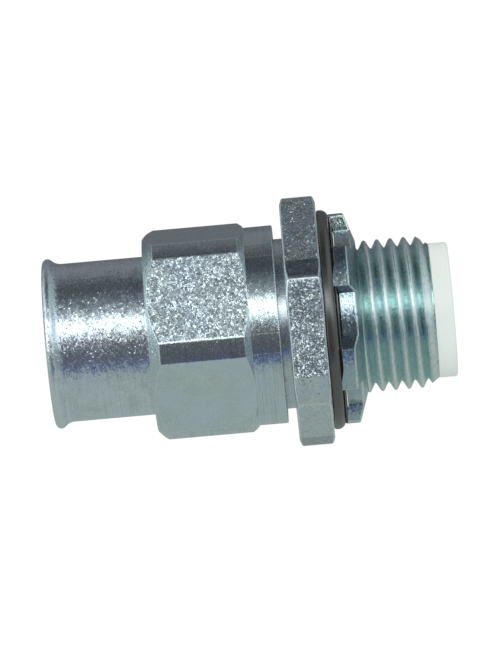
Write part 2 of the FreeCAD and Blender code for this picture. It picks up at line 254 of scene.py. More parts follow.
def baked(name, tree, mesh, values):
    """The plain mesh that a node tree makes from a mesh, with its named inputs set to values."""
    holder = bpy.data.objects.new(name + "_tree", mesh)
    bpy.context.scene.collection.objects.link(holder)
    modifier = holder.modifiers.new("shape", "NODES")
    modifier.node_group = tree
    for item in tree.interface.items_tree:
        if item.item_type == "SOCKET" and item.in_out == "INPUT" and item.name in values:
            modifier[item.identifier] = values[item.name]
    bpy.context.view_layer.update()
    evaluated = holder.evaluated_get(bpy.context.evaluated_depsgraph_get())
    result = bpy.data.meshes.new_from_object(evaluated)
    result.name = name
    holder.modifiers.remove(modifier)
    bpy.data.objects.remove(holder)
    return result


def spread(low, high, steps, tight_at=(), reach=0.4, extra=3):
    """Angles from low to high, with extra ones close to each angle in tight_at."""
    angles = {round(low + (high - low) * k / steps, 5) for k in range(steps + 1)}
    for centre in tight_at:
        near = {round(centre + reach * k / extra, 5) for k in range(-extra, extra + 1)}
        angles |= {angle for angle in near if low <= angle <= high}
    return sorted(angles)


def soft_min(a, b, width):
    """The smaller of two radii, with their meeting rounded over about that width."""
    near = max(0.0, width - abs(a - b)) / width
    return min(a, b) - near * near * width / 4


def zinc_grain():
    """Shader group: crystalline zinc plating, as fine facets that each lean their own way."""
    tree, given, result = new_group("zinc_grain", "ShaderNodeTree", [
        ("Light Colour", "NodeSocketColor", (0.66, 0.72, 0.73, 1)),
        ("Dark Colour", "NodeSocketColor", (0.45, 0.50, 0.54, 1)),
        ("Tint Colour", "NodeSocketColor", (0.60, 0.66, 0.80, 1)),
        ("Facet Size", "NodeSocketFloat", 0.2 * MM),
        ("Facet Lean", "NodeSocketFloat", 0.5),
        ("Sparkle", "NodeSocketFloat", 0.5),
        ("Roughness", "NodeSocketFloat", 0.25),
        ("Normal", "NodeSocketVector", None),
    ], [
        ("Colour", "NodeSocketColor"),
        ("Roughness", "NodeSocketFloat"),
        ("Normal", "NodeSocketVector"),
    ])
    here = add(tree, "ShaderNodeTexCoord").outputs["Object"]
    scale = sums(tree, "DIVIDE", 1.0, given["Facet Size"])
    fine = add(tree, "ShaderNodeTexVoronoi", here, scale).outputs["Color"]
    coarse_scale = sums(tree, "MULTIPLY", scale, 0.4)
    blotch_scale = sums(tree, "MULTIPLY", scale, 0.07)
    cloud_scale = sums(tree, "MULTIPLY", scale, 0.03)
    coarse = add(tree, "ShaderNodeTexVoronoi", here, coarse_scale).outputs["Color"]
    blotch = add(tree, "ShaderNodeTexNoise", here, blotch_scale, 3.0, 0.65).outputs[0]
    cloud = add(tree, "ShaderNodeTexNoise", here, cloud_scale, 2.0, 0.5).outputs[0]
    middle = (0.5, 0.5, 0.5)
    fine_lean = vectors(tree, "SUBTRACT", fine, middle)
    coarse_lean = vectors(tree, "SUBTRACT", coarse, middle)
    both = vectors(tree, "MULTIPLY_ADD", coarse_lean, (0.7, 0.7, 0.7), fine_lean)
    length = add(tree, "ShaderNodeVectorMath", both, operation="LENGTH").outputs["Value"]
    heavy = sums(tree, "MULTIPLY_ADD", sums(tree, "POWER", length, 3.0), given["Sparkle"], 0.5)
    patchy = sums(tree, "MULTIPLY", heavy, sums(tree, "MULTIPLY_ADD", blotch, 1.6, 0.2))
    amount = sums(tree, "MULTIPLY", patchy, given["Facet Lean"])
    leaned = add(tree, "ShaderNodeVectorMath", operation="SCALE")
    tree.links.new(both, leaned.inputs[0])
    tree.links.new(amount, leaned.inputs["Scale"])
    tilted = vectors(tree, "ADD", given["Normal"], leaned.outputs[0])
    tree.links.new(vectors(tree, "NORMALIZE", tilted), result["Normal"])
    split = add(tree, "ShaderNodeSeparateColor", fine).outputs
    tone = sums(tree, "MULTIPLY_ADD", blotch, 1.1, -0.3)
    tone = sums(tree, "MULTIPLY_ADD", split[0], 0.5, tone)
    colour = blend_colours(tree, tone, given["Dark Colour"], given["Light Colour"])
    tinted = sums(tree, "MULTIPLY_ADD", cloud, 3.0, -1.2)
    tree.links.new(blend_colours(tree, tinted, colour, given["Tint Colour"]), result["Colour"])
    rough = sums(tree, "MULTIPLY_ADD", split[1], 0.10, given["Roughness"])
    tree.links.new(rough, result["Roughness"])
    return tree


def turning_lines():
    """Shader group: the fine rings that a lathe tool leaves round the axis, as a height."""
    tree, given, result = new_group("turning_lines", "ShaderNodeTree", [
        ("Line Spacing", "NodeSocketFloat", 0.12 * MM),
        ("Depth", "NodeSocketFloat", 0.004 * MM),
    ], [("Height", "NodeSocketFloat"), ("Groove", "NodeSocketFloat")])
    here = add(tree, "ShaderNodeSeparateXYZ", add(tree, "ShaderNodeTexCoord").outputs["Object"])
    across = sums(tree, "SQRT", sums(tree, "ADD", sums(tree, "POWER", here.outputs[1], 2.0),
                                     sums(tree, "POWER", here.outputs[2], 2.0)))
    along = sums(tree, "DIVIDE", sums(tree, "ADD", here.outputs[0], across), given["Line Spacing"])
    swirl = sums(tree, "MULTIPLY", sums(tree, "ARCTAN2", here.outputs[2], here.outputs[1]), 0.6)
    spot = add(tree, "ShaderNodeCombineXYZ", along, swirl, 0.0)
    wave = add(tree, "ShaderNodeTexNoise", spot, 1.0, 2.0, 0.6).outputs[0]
    tree.links.new(wave, result["Groove"])
    tree.links.new(sums(tree, "MULTIPLY", wave, given["Depth"]), result["Height"])
    return tree


def bar_faces():
    """Shader group: tells the faces of a piece made from bar apart, and gives each its own surface.

    Lathe rings stand up on turned faces only. A flat that a wrench has rolled smooth leans over.
    """
    tree, given, result = new_group("bar_faces", "ShaderNodeTree", [
        ("Ring Height", "NodeSocketFloat", 0.0),
        ("Rolled Lean", "NodeSocketFloat", 0.3),
    ], [
        ("Drawn", "NodeSocketFloat"),
        ("Rolled", "NodeSocketFloat"),
        ("Normal", "NodeSocketVector"),
    ])
    drawn = add(tree, "ShaderNodeAttribute", attribute_name="drawn").outputs["Fac"]
    rolled = add(tree, "ShaderNodeAttribute", attribute_name="rolled").outputs["Fac"]
    rings = add(tree, "ShaderNodeBump")
    rings.inputs["Distance"].default_value = 1.0
    on_turned = sums(tree, "SUBTRACT", 1.0, sums(tree, "ADD", drawn, rolled))
    tree.links.new(on_turned, rings.inputs["Strength"])
    tree.links.new(given["Ring Height"], rings.inputs["Height"])
    lean_over = add(tree, "ShaderNodeVectorMath", operation="SCALE")
    tree.links.new(vectors(tree, "CROSS_PRODUCT", (1, 0, 0), rings), lean_over.inputs[0])
    tree.links.new(sums(tree, "MULTIPLY", rolled, given["Rolled Lean"]), lean_over.inputs["Scale"])
    tree.links.new(vectors(tree, "ADD", rings, lean_over), result["Normal"])
    tree.links.new(drawn, result["Drawn"])
    tree.links.new(rolled, result["Rolled"])
    return tree


def lathe_streaks():
    """Shader group: dark streaks along the deeper lathe rings, on turned faces only."""
    tree, given, result = new_group("lathe_streaks", "ShaderNodeTree", [
        ("Colour", "NodeSocketColor", (0.7, 0.7, 0.7, 1)),
        ("Streak Colour", "NodeSocketColor", (0.1, 0.1, 0.1, 1)),
        ("Groove", "NodeSocketFloat", 0.5),
        ("Contrast", "NodeSocketFloat", 5.0),
        ("Offset", "NodeSocketFloat", -2.4),
        ("Drawn", "NodeSocketFloat", 0.0),
        ("Amount", "NodeSocketFloat", 0.15),
    ], [("Colour", "NodeSocketColor")])
    on_lathe = sums(tree, "MULTIPLY", sums(tree, "SUBTRACT", 1.0, given["Drawn"]), given["Amount"])
    deep = sums(tree, "MULTIPLY_ADD", given["Groove"], given["Contrast"], given["Offset"])
    share = sums(tree, "MULTIPLY", deep, on_lathe)
    tree.links.new(blend_colours(tree, share, given["Colour"], given["Streak Colour"]), result["Colour"])
    return tree


def edge_wear_and_highlight():
    """Shader group: where an edge is painted bright, partly as rubbed wear and partly as a painted highlight,
    from the mesh's edge mask, broken up a little.
    """
    tree, given, result = new_group("edge_wear_and_highlight", "ShaderNodeTree", [
        ("Patch Size", "NodeSocketFloat", 0.5 * MM),
        ("Amount", "NodeSocketFloat", 1.0),
    ], [("Mask", "NodeSocketFloat")])
    mask = add(tree, "ShaderNodeAttribute", attribute_name="edge").outputs["Fac"]
    here = add(tree, "ShaderNodeTexCoord").outputs["Object"]
    patches = add(tree, "ShaderNodeTexNoise", here, sums(tree, "DIVIDE", 1.0, given["Patch Size"]), 2.0)
    broken = sums(tree, "MULTIPLY_ADD", patches.outputs[0], 1.6, -0.1)
    wear_and_highlight = sums(tree, "MULTIPLY", sums(tree, "MULTIPLY", mask, broken), given["Amount"])
    tree.links.new(wear_and_highlight, result["Mask"])
    return tree


REPEAT_ROUND = repeat_round()
ZINC_GRAIN = zinc_grain()
TURNING_LINES = turning_lines()
BAR_FACES = bar_faces()
LATHE_STREAKS = lathe_streaks()
EDGE_WEAR_AND_HIGHLIGHT = edge_wear_and_highlight()


def use_group(tree, group, **values):
    """Places a shader group in a material, with its named inputs set. An underscore stands for a space."""
    made = tree.nodes.new("ShaderNodeGroup")
    made.node_tree = group
    for label, value in values.items():
        socket = made.inputs[label.replace("_", " ")]
        if isinstance(value, bpy.types.NodeSocket):
            tree.links.new(value, socket)
        else:
            socket.default_value = value
    return made.outputs


LINE_SPACING = 0.20
ROLLED_LEAN = 0.29
ROLLED_GRAIN = 0.14
ROLLED_ROUGHNESS = -0.14
WORN_ROUGHNESS = 0.15
# Bright colour painted on rounded edges and thread crests: partly rubbed wear, partly a painted highlight.
WEAR_AND_HIGHLIGHT_COLOUR = (0.95, 0.96, 0.96, 1)
STREAK_COLOUR = (0.10, 0.11, 0.12, 1)


def plated_steel(name, light, dark, tint, facet, lean, roughness, sparkle=2.0, turned_lean=0.12,
                 lines=0.003, wear_and_highlight_amount=1.0, streaks=0.15):
    """Zinc plated steel. The bar's flats keep a strong grain; turned faces are finer, with lathe lines."""
    material = bpy.data.materials.new(name)
    material.use_nodes = True
    tree = material.node_tree
    metal = tree.nodes["Principled BSDF"]
    metal.inputs["Metallic"].default_value = 1.0
    turned = use_group(tree, TURNING_LINES, Line_Spacing=LINE_SPACING * MM, Depth=lines * MM)
    bar = use_group(tree, BAR_FACES, Ring_Height=turned["Height"], Rolled_Lean=ROLLED_LEAN)
    facet_lean = sums(tree, "MULTIPLY_ADD", bar["Drawn"], lean - turned_lean, turned_lean)
    facet_lean = sums(tree, "MULTIPLY_ADD", bar["Rolled"], ROLLED_GRAIN, facet_lean)
    grain = use_group(
        tree, ZINC_GRAIN, Light_Colour=(*light, 1), Dark_Colour=(*dark, 1), Tint_Colour=(*tint, 1),
        Facet_Size=facet * MM, Facet_Lean=facet_lean,
        Sparkle=sparkle, Roughness=roughness, Normal=bar["Normal"])
    streaked = use_group(
        tree, LATHE_STREAKS, Colour=grain["Colour"], Streak_Colour=STREAK_COLOUR,
        Groove=turned["Groove"], Drawn=bar["Drawn"], Amount=streaks)
    # Edges are painted bright from the edge mask: partly wear, partly a painted highlight.
    wear_and_highlight = use_group(tree, EDGE_WEAR_AND_HIGHLIGHT, Amount=wear_and_highlight_amount)["Mask"]
    bright = blend_colours(tree, wear_and_highlight, streaked["Colour"], WEAR_AND_HIGHLIGHT_COLOUR)
    tree.links.new(bright, metal.inputs["Base Color"])
    rough = sums(tree, "MULTIPLY_ADD", bar["Rolled"], ROLLED_ROUGHNESS, grain["Roughness"])
    rough = sums(tree, "MULTIPLY_ADD", wear_and_highlight, WORN_ROUGHNESS, rough)
    tree.links.new(rough, metal.inputs["Roughness"])
    tree.links.new(grain["Normal"], metal.inputs["Normal"])
    return material


def flange_outline(angle):
    """The body at one angle, without its threads. The bar's corners are at 0, 60, 120 degrees and so on."""
    from_flat = math.radians(angle % 60 - 30)
    r = soft_min(FLANGE_AF / 2 / math.cos(from_flat), FLANGE_CORNER_R, FLANGE_CORNER_ROUND)
    slope = (FLANGE_CORNER_R - FLANGE_CHAMFER_R) / FLANGE_CHAMFER
    chamfer = max(FLANGE_CHAMFER_LEAST, (r - FLANGE_CHAMFER_R) / slope)
    face_r = min(r - FLANGE_FACE_STEP, FLANGE_CHAMFER_R)
    kind = 2.0 if FLANGE_ROLLED_START < angle % 60 < FLANGE_ROLLED_END else 1.0
    return rounded(
        (MOUTH_X, MOUTH_R, 0),
        (MOUTH_X, CORE_R, 0),
        (NECK_START, CORE_R, 0),
        (NECK_START, NECK_R, 0),
        (FLANGE_LEFT, NECK_R, 0.15),
        (FLANGE_LEFT, face_r, 0.02),
        (FLANGE_LEFT + chamfer, r, FLANGE_LEFT_ROUND, kind),
        (-chamfer, r, FLANGE_RIGHT_ROUND),
        (0, face_r, 0.02),
        (0, RELIEF_R, 0),
        (RELIEF_END, RELIEF_R, 0),
        (RELIEF_END, HUB_CORE_R, 0),
        (WIREWAY_END, HUB_CORE_R, 0),
        (WIREWAY_END, WIREWAY_R, 0),
        (SOCKET_STOP, WIREWAY_R, 0.05),
        (SOCKET_STOP, SOCKET_R, 0),
        (SOCKET_START, SOCKET_R, 0),
    )


body_steel = plated_steel(
    "body_zinc_plate", (0.86, 0.90, 0.91), (0.54, 0.58, 0.61), (0.72, 0.76, 0.84),
    facet=0.135, lean=0.94, sparkle=0.5, roughness=0.24, turned_lean=0.06)
# The flange's corners are painted bright: partly wear, partly a painted highlight.
flange_sector = ring_mesh(
    "flange_sector", flange_outline, spread(0, 60, 24, (0, FLANGE_ROLLED_START, 60), reach=2.0, extra=6),
    closed=False, wear_and_highlight_at=lambda angle: min(angle, 60 - angle) < FLANGE_WEAR_AND_HIGHLIGHT_SPAN)
flange_mesh = finish_mesh(baked("body_core", REPEAT_ROUND, flange_sector, {"Count": 6}))
place("body_core", flange_mesh, body_steel, "hub", "body_zinc", "body")


# ---------------------------------------------------------------------------
# The body's two screw threads, cut in the same plated steel: the gland thread that
# the nut runs on, and the straight hub thread that the locknut runs on. Both are
# right-handed with 60 degree flanks, and their crests are slightly rounded.

HUB_PITCH = 25.4 / 14
HUB_CREST_R = 10.4
HUB_ROOT_R = 9.2
HUB_END = 14.86
HUB_CREST_ANGLE = 336.1
HUB_BORE_R = 8.5
GLAND_PITCH = 25.4 / 18
GLAND_CREST_R = 12.4
GLAND_ROOT_R = 11.7
GLAND_START = -16.0
THREAD_FLAT = 0.15
THREAD_CREST_SOFTNESS = 0.32
THREAD_ROOT_SOFTNESS = 0.16


def screw_thread():
    """A node tree that makes a threaded tube about the X axis. Its grid runs with the thread's lead.

    The attribute "edge" is strongest on one side of each crest; the material paints it bright, partly as rubbed
    wear and partly as a painted highlight.
    """
    tree, given, result = new_group("screw_thread", "GeometryNodeTree", [
        ("Start", "NodeSocketFloat", 0.0),
        ("End", "NodeSocketFloat", 10 * MM),
        ("Pitch", "NodeSocketFloat", 1.5 * MM),
        ("Crest Radius", "NodeSocketFloat", 10 * MM),
        ("Root Radius", "NodeSocketFloat", 9 * MM),
        ("Wall Radius", "NodeSocketFloat", 8 * MM),
        ("Crest Place", "NodeSocketFloat", 0.0),
        ("Crest Angle", "NodeSocketFloat", 0.0),
        ("Crest Flat", "NodeSocketFloat", 0.2 * MM),
        ("Root Flat", "NodeSocketFloat", 0.2 * MM),
        ("Wear And Highlight Offset", "NodeSocketFloat", 0.12),
        ("Wear And Highlight Width", "NodeSocketFloat", 0.42),
        ("Start Fade", "NodeSocketFloat", 1 * MM),
        ("End Fade", "NodeSocketFloat", 1 * MM),
        ("Points per Turn", "NodeSocketInt", 160),
        ("Points per Pitch", "NodeSocketInt", 18),
        ("Weld Distance", "NodeSocketFloat", 0.0005 * MM),
        ("Material", "NodeSocketMaterial", None),
    ], [("Thread", "NodeSocketGeometry")])
    turns = sums(tree, "DIVIDE", sums(tree, "SUBTRACT", given["End"], given["Start"]), given["Pitch"])
    rows = sums(tree, "MULTIPLY", sums(tree, "ADD", turns, 1.0), given["Points per Pitch"])
    rows = sums(tree, "CEIL", rows)
    last = sums(tree, "ADD", rows, 3.0)
    grid = add(tree, "GeometryNodeMeshGrid", 1.0, 1.0, sums(tree, "ADD", last, 1.0),
               sums(tree, "ADD", given["Points per Turn"], 1.0)).outputs["Mesh"]
    spot = add(tree, "ShaderNodeSeparateXYZ", add(tree, "GeometryNodeInputPosition"))
    row = sums(tree, "ROUND", sums(tree, "MULTIPLY", sums(tree, "ADD", spot.outputs[0], 0.5), last))
    turned = sums(tree, "ADD", spot.outputs[1], 0.5)
    angle = sums(tree, "MULTIPLY", turned, 2 * math.pi)
    led = sums(tree, "SUBTRACT", sums(tree, "DIVIDE", row, given["Points per Pitch"]), 1.0)
    led = sums(tree, "ADD", led, turned)
    led = sums(tree, "MULTIPLY_ADD", led, given["Pitch"], given["Start"])
    led = sums(tree, "MINIMUM", sums(tree, "MAXIMUM", led, given["Start"]), given["End"])
    beyond = sums(tree, "GREATER_THAN", row, sums(tree, "SUBTRACT", last, 1.5))
    wall = sums(tree, "GREATER_THAN", row, sums(tree, "SUBTRACT", last, 2.5))
    closing = sums(tree, "GREATER_THAN", row, sums(tree, "SUBTRACT", last, 0.5))
    wall = sums(tree, "SUBTRACT", wall, closing)

    def pick(share, first, second):
        return sums(tree, "ADD", sums(tree, "MULTIPLY", first, sums(tree, "SUBTRACT", 1.0, share)),
                    sums(tree, "MULTIPLY", second, share))

    along = pick(beyond, led, given["Start"])
    from_crest = sums(tree, "DIVIDE", sums(tree, "SUBTRACT", along, given["Crest Place"]), given["Pitch"])
    crest_turn = sums(tree, "DIVIDE", sums(tree, "SUBTRACT", angle, given["Crest Angle"]), 2 * math.pi)
    phase = sums(tree, "SUBTRACT", from_crest, crest_turn)
    phase = sums(tree, "SUBTRACT", phase, sums(tree, "ROUND", phase))
    # A band on one side of each crest, painted bright by the material: partly wear, partly a painted highlight.
    off_crest_wear_and_highlight = sums(tree, "ABSOLUTE", sums(tree, "SUBTRACT", phase, given["Wear And Highlight Offset"]))
    crest_wear_and_highlight = sums(tree, "SUBTRACT", 1.0, sums(tree, "DIVIDE", off_crest_wear_and_highlight, given["Wear And Highlight Width"]))
    crest_wear_and_highlight = sums(tree, "MAXIMUM", crest_wear_and_highlight, 0.0)
    off_crest = sums(tree, "MULTIPLY", sums(tree, "ABSOLUTE", phase), given["Pitch"])
    foot = sums(tree, "MULTIPLY", sums(tree, "SUBTRACT", given["Pitch"], given["Root Flat"]), 0.5)
    flank = sums(tree, "SUBTRACT", foot, sums(tree, "MULTIPLY", given["Crest Flat"], 0.5))
    rise = sums(tree, "DIVIDE", sums(tree, "SUBTRACT", foot, off_crest), flank)
    rise = sums(tree, "SMOOTH_MIN", rise, 1.0, THREAD_CREST_SOFTNESS)
    rise = sums(tree, "SMOOTH_MAX", rise, 0.0, THREAD_ROOT_SOFTNESS)
    from_start = sums(tree, "DIVIDE", sums(tree, "SUBTRACT", along, given["Start"]), given["Start Fade"])
    to_end = sums(tree, "DIVIDE", sums(tree, "SUBTRACT", given["End"], along), given["End Fade"])
    rise = sums(tree, "MINIMUM", rise, sums(tree, "MINIMUM", from_start, to_end))
    height = sums(tree, "SUBTRACT", given["Crest Radius"], given["Root Radius"])
    radius = pick(wall, sums(tree, "MULTIPLY_ADD", rise, height, given["Root Radius"]), given["Wall Radius"])
    place_at = add(tree, "ShaderNodeCombineXYZ", along,
                   sums(tree, "MULTIPLY", radius, sums(tree, "COSINE", angle)),
                   sums(tree, "MULTIPLY", radius, sums(tree, "SINE", angle)))
    marked = add(tree, "GeometryNodeStoreNamedAttribute", grid)
    marked.inputs["Name"].default_value = "edge"
    tree.links.new(crest_wear_and_highlight, marked.inputs["Value"])
    bent = add(tree, "GeometryNodeSetPosition", marked)
    tree.links.new(place_at.outputs[0], bent.inputs["Position"])
    welded = add(tree, "GeometryNodeMergeByDistance", bent)
    tree.links.new(given["Weld Distance"], welded.inputs["Distance"])
    painted = add(tree, "GeometryNodeSetMaterial", add(tree, "GeometryNodeRealizeInstances", welded))
    tree.links.new(given["Material"], painted.inputs["Material"])
    tree.links.new(painted.outputs[0], result["Thread"])
    return tree


SCREW_THREAD = screw_thread()


def thread_mesh(name, start, end, pitch, crest, root, wall, crest_place, crest_angle, crest_flat,
                start_fade, end_fade, root_flat=THREAD_FLAT):
    """A threaded tube, with every length in millimetres and the crest's angle in degrees."""
    millimetres = {
        "Start": start, "End": end, "Pitch": pitch, "Crest Radius": crest, "Root Radius": root,
        "Wall Radius": wall, "Crest Place": crest_place, "Crest Flat": crest_flat,
        "Root Flat": root_flat, "Start Fade": start_fade, "End Fade": end_fade,
    }
    values = {label: value * MM for label, value in millimetres.items()}
    values["Crest Angle"] = math.radians(crest_angle)
    return finish_mesh(baked(name, SCREW_THREAD, bpy.data.meshes.new(name + "_start"), values), crease=50)


# Thread crests get the strongest bright paint: partly rubbed wear, partly a painted highlight.
thread_steel = plated_steel(
    "thread_zinc_plate", (0.62, 0.82, 0.79), (0.44, 0.62, 0.61), (0.52, 0.70, 0.74),
    facet=0.13, lean=0.08, sparkle=0.5, roughness=0.21, turned_lean=0.08, lines=0.001, wear_and_highlight_amount=1.6)
hub_thread = thread_mesh(
    "hub_thread", RELIEF_END, HUB_END, HUB_PITCH, HUB_CREST_R, HUB_ROOT_R, HUB_BORE_R,
    HUB_END, HUB_CREST_ANGLE, crest_flat=0.34, start_fade=0.7, end_fade=1.7)
place("hub_thread", hub_thread, thread_steel, "hub", "body_zinc")
gland_thread = thread_mesh(
    "gland_thread", GLAND_START, NECK_START, GLAND_PITCH, GLAND_CREST_R, GLAND_ROOT_R, CORE_R - 0.1,
    GLAND_START, 0.0, crest_flat=0.3, start_fade=0.6, end_fade=0.5)
place("gland_thread", gland_thread, thread_steel, "hub", "body_zinc")


# ---------------------------------------------------------------------------
# The throat insulator: a white nylon bushing, injection moulded and pressed into
# the hub's end, so that wires are not pulled across a steel edge.

INSULATOR_BORE_R = 7.7
INSULATOR_SHANK_R = 8.48
INSULATOR_FLANGE_R = 9.22
INSULATOR_END = 17.47
ROUND_STEPS = 168


def evenly_round(count=ROUND_STEPS):
    """Angles for a ring that is the same all the way round."""
    return [360 * k / count for k in range(count)]


def turned_mesh(name, outline, crease=35):
    """A ring with one outline all the way round, as a lathe or a round mould makes it."""
    return finish_mesh(ring_mesh(name, lambda angle: outline, evenly_round()), crease)


def moulded_nylon():
    """White nylon: nearly plain, with faint clouds of shade, fine pimples and a soft gloss."""
    material = bpy.data.materials.new("white_nylon")
    material.use_nodes = True
    tree = material.node_tree
    plastic = tree.nodes["Principled BSDF"]
    here = add(tree, "ShaderNodeTexCoord").outputs["Object"]
    cloud = add(tree, "ShaderNodeTexNoise", here, 160.0, 3.0, 0.6).outputs[0]
    pimples = add(tree, "ShaderNodeTexNoise", here, 4200.0, 2.0, 0.5).outputs[0]
    shade = blend_colours(tree, cloud, (0.80, 0.84, 0.81, 1), (0.90, 0.92, 0.90, 1))
    tree.links.new(shade, plastic.inputs["Base Color"])
    tree.links.new(sums(tree, "MULTIPLY_ADD", cloud, 0.2, 0.32), plastic.inputs["Roughness"])
    skin = add(tree, "ShaderNodeBump", 0.35, 0.01 * MM)
    tree.links.new(pimples, skin.inputs["Height"])
    tree.links.new(skin.outputs[0], plastic.inputs["Normal"])
    plastic.inputs["Subsurface Weight"].default_value = 0.15
    plastic.inputs["Subsurface Radius"].default_value = (0.0012, 0.0012, 0.0010)
    return material


insulator_outline = rounded(
    (WIREWAY_END, INSULATOR_BORE_R, 0.12),
    (WIREWAY_END, INSULATOR_SHANK_R, 0.12),
    (HUB_END, INSULATOR_SHANK_R, 0),
    (HUB_END, INSULATOR_FLANGE_R, 0.12),
    (INSULATOR_END, INSULATOR_FLANGE_R, 0.4),
    (INSULATOR_END, INSULATOR_BORE_R, 0.7),
)
place("nylon_bushing", turned_mesh("nylon_bushing", insulator_outline), moulded_nylon(),
      "hub", "nylon", "throat_insulator")


# ---------------------------------------------------------------------------
# The gland nut: zinc plated steel, turned from hex bar. The bar's corners are turned
# down to a cylinder, both ends are chamfered, and a plain round collar covers the
# thread. Its thread runs on the body and squeezes the rings inside it.

NUT_AF = 27.0
NUT_CORNER_R = 14.8
NUT_LAND_SOFTNESS = 0.10
NUT_EDGE_ROUND = 0.09
NUT_WEAR_AND_HIGHLIGHT_SPAN = 0.22
NUT_LEFT = -24.0
NUT_FACE_R = 13.2
NUT_CHAMFER_END = -22.5
NUT_SLOPE_START = -11.0
NUT_SLOPE_END = -10.1
NUT_COLLAR_R = 13.6
NUT_RIGHT = -6.16
NUT_ENTRY_R = 10.95
NUT_WALL_END = -22.3
NUT_INSIDE_R = 12.6
NUT_THREAD_R = 11.8
NUT_THREAD_START = -19.2
NUT_THREAD_END = -7.46
NUT_THREAD_SHIFT = 0.5
NUT_THREAD_CLEARANCE = 0.18


def nut_outline(angle):
    """The nut at one angle. Its corners are at 30, 90, 150 degrees and so on."""
    from_flat = math.radians((angle + 30) % 60 - 30)
    r = soft_min(NUT_AF / 2 / math.cos(from_flat), NUT_CORNER_R, NUT_LAND_SOFTNESS)
    left_rate = (NUT_CHAMFER_END - NUT_LEFT) / (NUT_CORNER_R - NUT_FACE_R)
    right_rate = (NUT_SLOPE_END - NUT_SLOPE_START) / (NUT_CORNER_R - NUT_COLLAR_R)
    left = NUT_LEFT + (r - NUT_FACE_R) * left_rate
    right = min(NUT_SLOPE_END - 0.12, NUT_SLOPE_START + (NUT_CORNER_R - r) * right_rate)
    return rounded(
        (NUT_LEFT, NUT_ENTRY_R, 0.12),
        (NUT_LEFT, NUT_FACE_R, 0.10),
        (left, r, NUT_EDGE_ROUND, 1.0 if r < NUT_CORNER_R - 0.04 else 0.0),
        (right, r, NUT_EDGE_ROUND),
        (NUT_SLOPE_END, NUT_COLLAR_R - 0.02, 0.02),
        (NUT_RIGHT, NUT_COLLAR_R, 0.22),
        (NUT_RIGHT, NUT_INSIDE_R, 0.12),
        (NUT_WALL_END, NUT_INSIDE_R, 0),
        (NUT_WALL_END, NUT_ENTRY_R, 0.05),
    )


nut_steel = plated_steel(
    "nut_zinc_plate", (0.83, 0.89, 0.90), (0.60, 0.66, 0.69), (0.73, 0.80, 0.88),
    facet=0.125, lean=0.27, sparkle=0.7, roughness=0.20, turned_lean=0.12, lines=0.010, streaks=0.22)
LAND_EDGE = math.degrees(math.acos(NUT_AF / 2 / NUT_CORNER_R))
# The edges of the nut's lands are painted bright: partly wear, partly a painted highlight.
nut_sector = ring_mesh(
    "nut_sector", nut_outline, spread(0, 60, 24, (LAND_EDGE, 60 - LAND_EDGE), reach=0.9, extra=5),
    closed=False,
    wear_and_highlight_at=lambda angle: min(abs(angle - LAND_EDGE), abs(angle - 60 + LAND_EDGE)) < NUT_WEAR_AND_HIGHLIGHT_SPAN)
nut_mesh = finish_mesh(baked("nut_shell", REPEAT_ROUND, nut_sector, {"Count": 6}), crease=20)
place("nut_shell", nut_mesh, nut_steel, "nut", "nut_zinc", "gland_nut")
nut_thread = thread_mesh(
    "gland_nut_thread", NUT_THREAD_START, NUT_THREAD_END, GLAND_PITCH, NUT_THREAD_R,
    GLAND_CREST_R + NUT_THREAD_CLEARANCE, NUT_INSIDE_R + 0.02, GLAND_START + GLAND_PITCH * NUT_THREAD_SHIFT, 0.0,
    crest_flat=0.15, start_fade=0.6, end_fade=0.6)
place("gland_nut_thread", nut_thread, thread_steel, "nut", "nut_zinc")


# ---------------------------------------------------------------------------
# The bell-mouthed sleeve: drawn steel tube, zinc plated. Its end is rolled outwards
# into a smooth lip that leads the conduit in, and an inner flange keeps it in the nut.

SLEEVE_R = 10.85
SLEEVE_BORE_R = 9.25
SLEEVE_LIP_X = -37.2
SLEEVE_LIP_CENTRE_R = 10.95
SLEEVE_LIP_ROUND = 0.7
SLEEVE_FLARE_X = -35.28
SLEEVE_FLARE_CENTRE_R = 12.85
SLEEVE_FLARE_ROUND = 2.0
SLEEVE_BELL_X = -36.425
SLEEVE_BELL_ROUND = 1.475
SLEEVE_FLANGE_R = 11.35
SLEEVE_FLANGE_LEFT = -22.25
SLEEVE_FLANGE_RIGHT = -21.45


def arc(x, r, radius, start, end, steps, on_edge=0.0):
    """Outline points along an arc, from one direction in degrees to another."""
    turns = [math.radians(start + (end - start) * k / steps) for k in range(steps + 1)]
    return [(x + radius * math.cos(turn), r + radius * math.sin(turn), on_edge, 0.0) for turn in turns]


